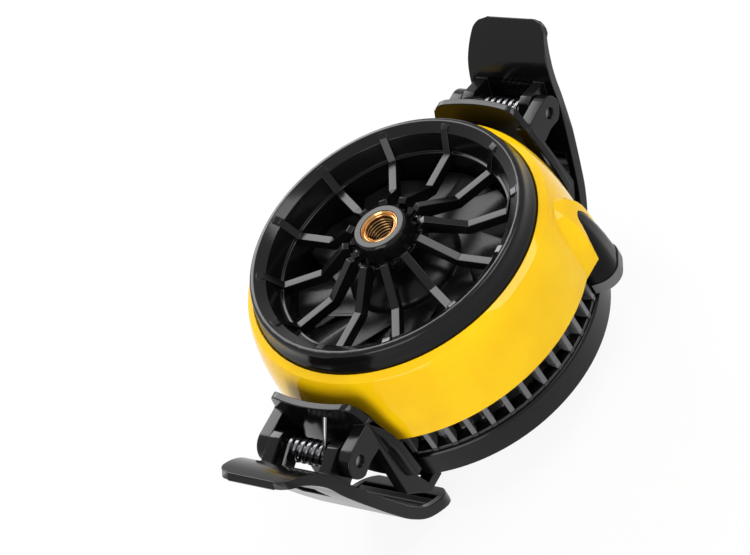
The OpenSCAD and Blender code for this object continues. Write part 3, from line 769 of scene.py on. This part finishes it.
def rounded_piece(name, node, slot, width, segments=2, sliver=SLIVER, reshape=None, look=None):
    """A solid with rounded edges and its finish, in the solid's place."""
    bm = merged_copy(node, sliver)
    if reshape:
        reshape(bm)
    round_edges(bm, width, segments)
    piece = add_piece(name, bm, frame["nodes"][node]["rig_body"], slot, look=look)
    weighted = piece.modifiers.new("Flat faces", "WEIGHTED_NORMAL")
    weighted.keep_sharp = True
    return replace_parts(piece, node)


def spun_profile(bm, points, steps, angle=2 * math.pi, rise=0.0):
    """Turns a profile of radius and height points round the fan axis, with a rise per turn."""
    corners = [bm.verts.new((radius, 0.0, height)) for radius, height in points]
    edges = [bm.edges.new(pair) for pair in zip(corners, corners[1:])]
    whole = rise == 0.0
    bmesh.ops.spin(
        bm,
        geom=corners + edges,
        cent=(0, 0, 0),
        axis=(0, 0, 1),
        dvec=(0, 0, rise * angle / (2 * math.pi) / steps),
        angle=angle,
        steps=steps,
        use_merge=whole,
    )


def push_ring(bm, edges, way):
    """Extrudes a ring of edges along a vector and returns the new ring."""
    made = bmesh.ops.extrude_edge_only(bm, edges=edges)["geom"]
    moved = [item for item in made if isinstance(item, bmesh.types.BMVert)]
    bmesh.ops.translate(bm, verts=moved, vec=way)
    ring = set(moved)
    return [edge for edge in bm.edges if set(edge.verts) <= ring]


def paint_node(node, slot):
    """Gives a solid that is shown as it is its finish."""
    solid = frame["nodes"][node]
    solid.data.materials.clear()
    solid.data.materials.append(finish(slot))


# Operators


class COOLER_OT_case(bpy.types.Operator):
    """Finishes the yellow case sleeve"""

    bl_idname = "cooler.case"
    bl_label = "Case"

    def execute(self, context):
        sizes = context.scene.cooler_detail
        rounded_piece("case_sleeve", "case_ring", "yellow_gloss", sizes.fine_round)
        return {"FINISHED"}


class COOLER_OT_grille(bpy.types.Operator):
    """Finishes the front grille with its rim, spokes and hub"""

    bl_idname = "cooler.grille"
    bl_label = "Front grille"

    def execute(self, context):
        sizes = context.scene.cooler_detail
        rounded_piece(
            "grille_moulding", "front_grille", "black_satin", sizes.fine_round, sliver=2 * SLIVER,
            reshape=self.shape_rim_and_crown,
        )
        return {"FINISHED"}

    def shape_rim_and_crown(self, bm):
        self.dish_crown(bm)
        self.draw_in_shoulder(bm)

    def draw_in_shoulder(self, bm):
        """Draws the rim's outer shoulder in, so that the case's bright edge shows all round it."""
        for vert in bm.verts:
            share = (vert.co.z - SHOULDER_FOOT) / (SHOULDER_TOP - SHOULDER_FOOT)
            radius = vert.co.xy.length
            if 0 < share < 1 and radius > SHOULDER_RADIUS:
                vert.co.xy *= 1 - SHOULDER_DRAW * math.sin(math.pi * share) / radius

    def dish_crown(self, bm):
        """Slopes the tops of the hub's blocks and spoke ends down towards the boss."""
        for vert in bm.verts:
            radius = vert.co.xy.length
            if CROWN_LOW < vert.co.z < CROWN_HIGH and BOSS_FOOT < radius < CROWN_RADIUS:
                vert.co.z -= CROWN_SLOPE * (CROWN_RADIUS - radius)


class COOLER_OT_insert(bpy.types.Operator):
    """Turns the brass insert and cuts its thread"""

    bl_idname = "cooler.insert"
    bl_label = "Threaded insert"

    def execute(self, context):
        sizes = context.scene.cooler_detail
        bm = bmesh.new()
        body = [(radius * MM, INSERT_TOP + height * MM) for radius, height in INSERT_OUTLINE]
        spun_profile(bm, body, BODY_STEPS)
        pitch, root = sizes.thread_pitch, THREAD_CREST + sizes.thread_depth
        low = INSERT_TOP - INSERT_LENGTH
        turns = int((INSERT_LENGTH - THREAD_START) / pitch)
        flat = [(root, low + share * pitch) for share in THREAD_ROOT]
        tooth = [(THREAD_CREST, low), *flat, (THREAD_CREST, low + pitch)]
        spun_profile(bm, tooth, THREAD_STEPS * turns, 2 * math.pi * turns, pitch)
        bmesh.ops.remove_doubles(bm, verts=bm.verts, dist=MERGE)
        bmesh.ops.recalc_face_normals(bm, faces=bm.faces)
        insert = add_piece("turned_insert", bm, "cooler", "brass", smooth=30)
        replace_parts(insert, "threaded_insert")
        return {"FINISHED"}


class COOLER_OT_fan(bpy.types.Operator):
    """Finishes the fan wheel and its motor"""

    bl_idname = "cooler.fan"
    bl_label = "Fan and motor"

    def execute(self, context):
        sizes = context.scene.cooler_detail
        rounded_piece("fan_wheel", "fan_impeller", "black_fan", sizes.fine_round, sliver=0.0)
        paint_node("motor_base", "black_satin")
        paint_node("motor_board", "circuit_board")
        paint_node("bearing_sleeve", "brass")
        paint_node("stator_core", "steel")
        paint_node("stator_coils", "copper")
        paint_node("rotor_yoke", "steel")
        paint_node("rotor_magnet", "magnet")
        paint_node("fan_shaft", "steel")
        return {"FINISHED"}


class COOLER_OT_cold_side(bpy.types.Operator):
    """Finishes the contact pad, cold plate, thermoelectric module and heat sink"""

    bl_idname = "cooler.cold_side"
    bl_label = "Cold side"

    def execute(self, context):
        sizes = context.scene.cooler_detail
        rounded_piece("contact_pad", "thermal_pad", "silicone", sizes.moulding_round)
        rounded_piece("cold_disc", "cold_plate", "aluminium", sizes.fine_round)
        rounded_piece("sink_fins", "heat_sink", "aluminium", sizes.fine_round)
        rounded_piece("foam_ring", "insulation_ring", "foam", sizes.moulding_round)
        paint_node("peltier_module", "ceramic")
        return {"FINISHED"}


class COOLER_OT_base(bpy.types.Operator):
    """Finishes the base ring, the air outlet and their screws"""

    bl_idname = "cooler.base"
    bl_label = "Base and air outlet"

    def execute(self, context):
        sizes = context.scene.cooler_detail
        rounded_piece("base_ring", "base_cover", "black_satin", sizes.fine_round)
        # The outlet's ribs are painted paler above their foot, as painted light where the case shades them
        rounded_piece(
            "outlet_ribs", "vent_ring", "black_satin", sizes.fine_round, sliver=2 * SLIVER, look="ribs_painted_light",
        )
        rounded_piece("case_screws", "housing_screws", "steel", sizes.fine_round / 3)
        return {"FINISHED"}


class COOLER_OT_inlet(bpy.types.Operator):
    """Finishes the power inlet and its hood"""

    bl_idname = "cooler.inlet"
    bl_label = "Power inlet"

    def execute(self, context):
        sizes = context.scene.cooler_detail
        # The hood's lip is painted grey as a painted reflection
        rounded_piece("inlet_hood", "usb_port_hood", "black_satin", sizes.fine_round, look="black_hood")
        rounded_piece("inlet_socket", "usb_socket", "steel", sizes.fine_round / 2)
        paint_node("control_board", "circuit_board")
        return {"FINISHED"}


class COOLER_OT_clips(bpy.types.Operator):
    """Finishes the brackets, levers, pins, screws and jaw grips of the two clips"""

    bl_idname = "cooler.clips"
    bl_label = "Clips"

    def execute(self, context):
        sizes = context.scene.cooler_detail
        for side in SIDES:
            rounded_piece(
                f"clip_frame_{side}", f"clip_bracket_{side}", "black_satin", sizes.moulding_round,
                reshape=self.slim_legs,
            )
            rounded_piece(
                f"lever_arm_{side}", f"clip_lever_{side}", "black_satin", sizes.moulding_round,
                reshape=self.round_paddle,
            )
            rounded_piece(f"hinge_pin_{side}", f"clip_pin_{side}", "dark_steel", sizes.fine_round)
            rounded_piece(f"jaw_grip_{side}", f"jaw_pad_{side}", "grey_rubber", sizes.fine_round)
        rounded_piece("toe_screws", "bracket_screws", "steel", sizes.fine_round / 3)
        return {"FINISHED"}

    def round_paddle(self, bm):
        """Rounds the paddle's corners across its own slope."""
        for vert in bm.verts:
            short = PADDLE_END[0] - abs(vert.co.x), PADDLE_END[1] - vert.co.z
            along = short[0] * PADDLE_SLOPE[0] + short[1] * PADDLE_SLOPE[1]
            if along < PADDLE_CORNER:
                along = max(along, 0.0)
                drop = PADDLE_CORNER - math.sqrt(PADDLE_CORNER ** 2 - (PADDLE_CORNER - along) ** 2)
                vert.co.y = math.copysign(PADDLE_HALF + PADDLE_FLARE * along - drop, vert.co.y)

    def slim_legs(self, bm):
        """Cuts the legs back under the pin, and runs the plate's wings down beside them."""
        for vert in bm.verts:
            for (old_x, old_z), (new_x, new_z) in LEG_CORNERS:
                if math.hypot(abs(vert.co.x) - old_x * MM, vert.co.z - old_z * MM) < CORNER_REACH:
                    vert.co.x = math.copysign(new_x * MM, vert.co.x)
                    vert.co.z = new_z * MM
        for start in (WING_START, -WING_START):
            everything = bm.verts[:] + bm.edges[:] + bm.faces[:]
            bmesh.ops.bisect_plane(bm, geom=everything, plane_co=(0, start, 0), plane_no=(0, 1, 0))
        feet = [
            face for face in bm.faces
            if face.normal.z < -0.99 and abs(face.calc_center_median().y) > WING_START
            and abs(face.calc_center_median().z - PLATE_FOOT) < CORNER_REACH
        ]
        pushed = bmesh.ops.extrude_face_region(bm, geom=feet)["geom"]
        lowered = [item for item in pushed if isinstance(item, bmesh.types.BMVert)]
        bmesh.ops.translate(bm, verts=lowered, vec=(0, 0, -WING_LENGTH))
        bmesh.ops.delete(bm, geom=feet, context="FACES")


class COOLER_OT_springs(bpy.types.Operator):
    """Winds the two clip springs on their pins"""

    bl_idname = "cooler.springs"
    bl_label = "Clip springs"

    def execute(self, context):
        sizes = context.scene.cooler_detail
        half = Vector((0, sizes.coil_turns * sizes.coil_pitch / 2, 0))
        for side in SIDES:
            turn = Matrix.Rotation(0.0 if side == "right" else math.pi, 3, "Z")
            bm = self.wind(sizes, half)
            bmesh.ops.rotate(bm, verts=bm.verts, cent=(0, 0, 0), matrix=turn)
            spring = add_piece(f"wound_spring_{side}", bm, None, "spring_steel", smooth=60)
            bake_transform(spring)
            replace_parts(spring, f"clip_spring_{side}")
        return {"FINISHED"}

    def wind(self, sizes, half):
        """One wire on the right hand pin: a leg on the lever, the coil, and a leg on the plate."""
        first, last = sizes.lever_leg_angle, sizes.plate_leg_angle + 2 * math.pi * sizes.coil_turns
        steps = COIL_STEPS * sizes.coil_turns
        start = PIN - half + sizes.coil_radius * Vector((math.cos(first), 0, math.sin(first)))
        course = Vector((-math.sin(first), 0, math.cos(first)))
        bm = bmesh.new()
        seat = Matrix.Translation(start - sizes.lever_leg * course)
        bmesh.ops.create_circle(
            bm,
            cap_ends=False,
            radius=sizes.wire / 2,
            segments=WIRE_SIDES,
            matrix=seat @ course.to_track_quat("Z", "Y").to_matrix().to_4x4(),
        )
        ends = list(bm.edges)
        ring = push_ring(bm, ends, sizes.lever_leg * course)
        spun = bmesh.ops.spin(
            bm,
            geom=ring + list({vert for edge in ring for vert in edge.verts}),
            cent=PIN,
            axis=(0, -1, 0),
            dvec=2 * half / steps,
            angle=last - first,
            steps=steps,
        )
        ring = [item for item in spun["geom_last"] if isinstance(item, bmesh.types.BMEdge)]
        ring = push_ring(bm, ring, sizes.plate_leg * Vector((-math.sin(last), 0, math.cos(last))))
        bmesh.ops.holes_fill(bm, edges=ends + ring, sides=0)
        bmesh.ops.recalc_face_normals(bm, faces=bm.faces)
        return bm


class COOLER_OT_stage(bpy.types.Operator):
    """Sets up the floor, the lamps, the surroundings and the camera"""

    bl_idname = "cooler.stage"
    bl_label = "Stage"

    def execute(self, context):
        scene = context.scene
        setup = scene.cooler_stage
        scene.view_settings.view_transform = "Standard"
        self.add_floor(scene)
        self.add_world(scene, setup)
        self.add_lamps(scene, setup)
        self.add_camera(scene, setup)
        return {"FINISHED"}

    def add_floor(self, scene):
        bm = bmesh.new()
        bmesh.ops.create_grid(bm, x_segments=1, y_segments=1, size=3.0)
        bmesh.ops.translate(bm, verts=bm.verts, vec=(0, 0, CAD_LOW.z - 0.1 * MM))
        mesh = bpy.data.meshes.new("floor")
        bm.to_mesh(mesh)
        bm.free()
        floor = bpy.data.objects.new("floor", mesh)
        scene.collection.objects.link(floor)
        material = bpy.data.materials.new("studio_floor")
        material.use_nodes = True
        tree = material.node_tree
        shader = tree.nodes["Principled BSDF"]
        shader.inputs["Base Color"].default_value = (FLOOR_GREY, FLOOR_GREY, FLOOR_GREY, 1)
        shader.inputs["Roughness"].default_value = 0.9
        shader.inputs["Specular IOR Level"].default_value = 0.0
        glow = place(tree, "ShaderNodeEmission", {"Strength": 1.0})
        seen = seen_rays(tree)
        share = place(tree, "ShaderNodeMath", operation="MULTIPLY")
        tree.links.new(seen, share.inputs[0])
        share.inputs[1].default_value = FLOOR_GLOW
        mixed = place(tree, "ShaderNodeMixShader", {"Fac": share.outputs[0]})
        tree.links.new(shader.outputs[0], mixed.inputs[1])
        tree.links.new(glow.outputs[0], mixed.inputs[2])
        tree.links.new(mixed.outputs[0], tree.nodes["Material Output"].inputs["Surface"])
        mesh.materials.append(material)

    def add_world(self, scene, setup):
        world = bpy.data.worlds.new("studio")
        world.use_nodes = True
        tree = world.node_tree
        plain = tree.nodes["Background"]
        plain.inputs["Color"].default_value = (1, 1, 1, 1)
        plain.inputs["Strength"].default_value = WORLD_LEVEL * setup.lamp_level
        white = place(tree, "ShaderNodeBackground", {"Color": (1, 1, 1, 1), "Strength": 1.0})
        mixed = place(tree, "ShaderNodeMixShader", {"Fac": seen_rays(tree)})
        tree.links.new(plain.outputs[0], mixed.inputs[1])
        tree.links.new(white.outputs[0], mixed.inputs[2])
        tree.links.new(mixed.outputs[0], tree.nodes["World Output"].inputs["Surface"])
        scene.world = world

    def add_lamps(self, scene, setup):
        for name, azimuth, elevation, distance, width, height, power in LAMPS:
            lamp = bpy.data.lights.new(name, "AREA")
            lamp.shape = "RECTANGLE"
            lamp.size, lamp.size_y = width, height
            lamp.energy = power * setup.lamp_level
            obj = bpy.data.objects.new(name, lamp)
            turn, rise = math.radians(azimuth), math.radians(elevation)
            way = Vector((math.cos(turn) * math.cos(rise), math.sin(turn) * math.cos(rise), math.sin(rise)))
            obj.location = LAMP_AIM + way * distance
            obj.rotation_euler = (-way).to_track_quat("-Z", "Y").to_euler()
            scene.collection.objects.link(obj)

    def add_camera(self, scene, setup):
        data = bpy.data.cameras.new("camera")
        data.sensor_fit = "HORIZONTAL"
        data.sensor_width = 36.0
        data.lens = setup.focal_length
        data.clip_start = 0.01
        camera = bpy.data.objects.new("camera", data)
        place_at, aim = Vector(setup.camera_place), Vector(setup.camera_aim)
        level = (aim - place_at).to_track_quat("-Z", "Y").to_matrix()
        turned = level @ Matrix.Rotation(setup.camera_roll, 3, "Z")
        camera.matrix_world = Matrix.Translation(place_at) @ turned.to_4x4()
        scene.collection.objects.link(camera)
        scene.camera = camera


OPERATORS = (
    COOLER_OT_case,
    COOLER_OT_grille,
    COOLER_OT_insert,
    COOLER_OT_fan,
    COOLER_OT_cold_side,
    COOLER_OT_base,
    COOLER_OT_inlet,
    COOLER_OT_clips,
    COOLER_OT_springs,
    COOLER_OT_stage,
)


class COOLER_PT_sidebar(bpy.types.Panel):
    """Lists the steps that dress the cooler"""

    bl_idname = "COOLER_PT_sidebar"
    bl_label = "Phone cooler"
    bl_space_type = "VIEW_3D"
    bl_region_type = "UI"
    bl_category = "Cooler"

    def draw(self, context):
        for step in OPERATORS:
            self.layout.operator(step.bl_idname)


PROPERTIES = {
    "cooler_finish": CoolerFinishProperties,
    "cooler_detail": CoolerDetailProperties,
    "cooler_stage": CoolerStageProperties,
}
CLASSES = (*PROPERTIES.values(), *OPERATORS, COOLER_PT_sidebar)


def register():
    for cls in CLASSES:
        bpy.utils.register_class(cls)
    for name, group in PROPERTIES.items():
        setattr(bpy.types.Scene, name, PointerProperty(type=group))


def unregister():
    for name in PROPERTIES:
        delattr(bpy.types.Scene, name)
    for cls in reversed(CLASSES):
        bpy.utils.unregister_class(cls)


def main():
    register()
    for step in OPERATORS:
        getattr(bpy.ops.cooler, step.bl_idname.split(".")[1])()


if __name__ == "__main__":
    main()
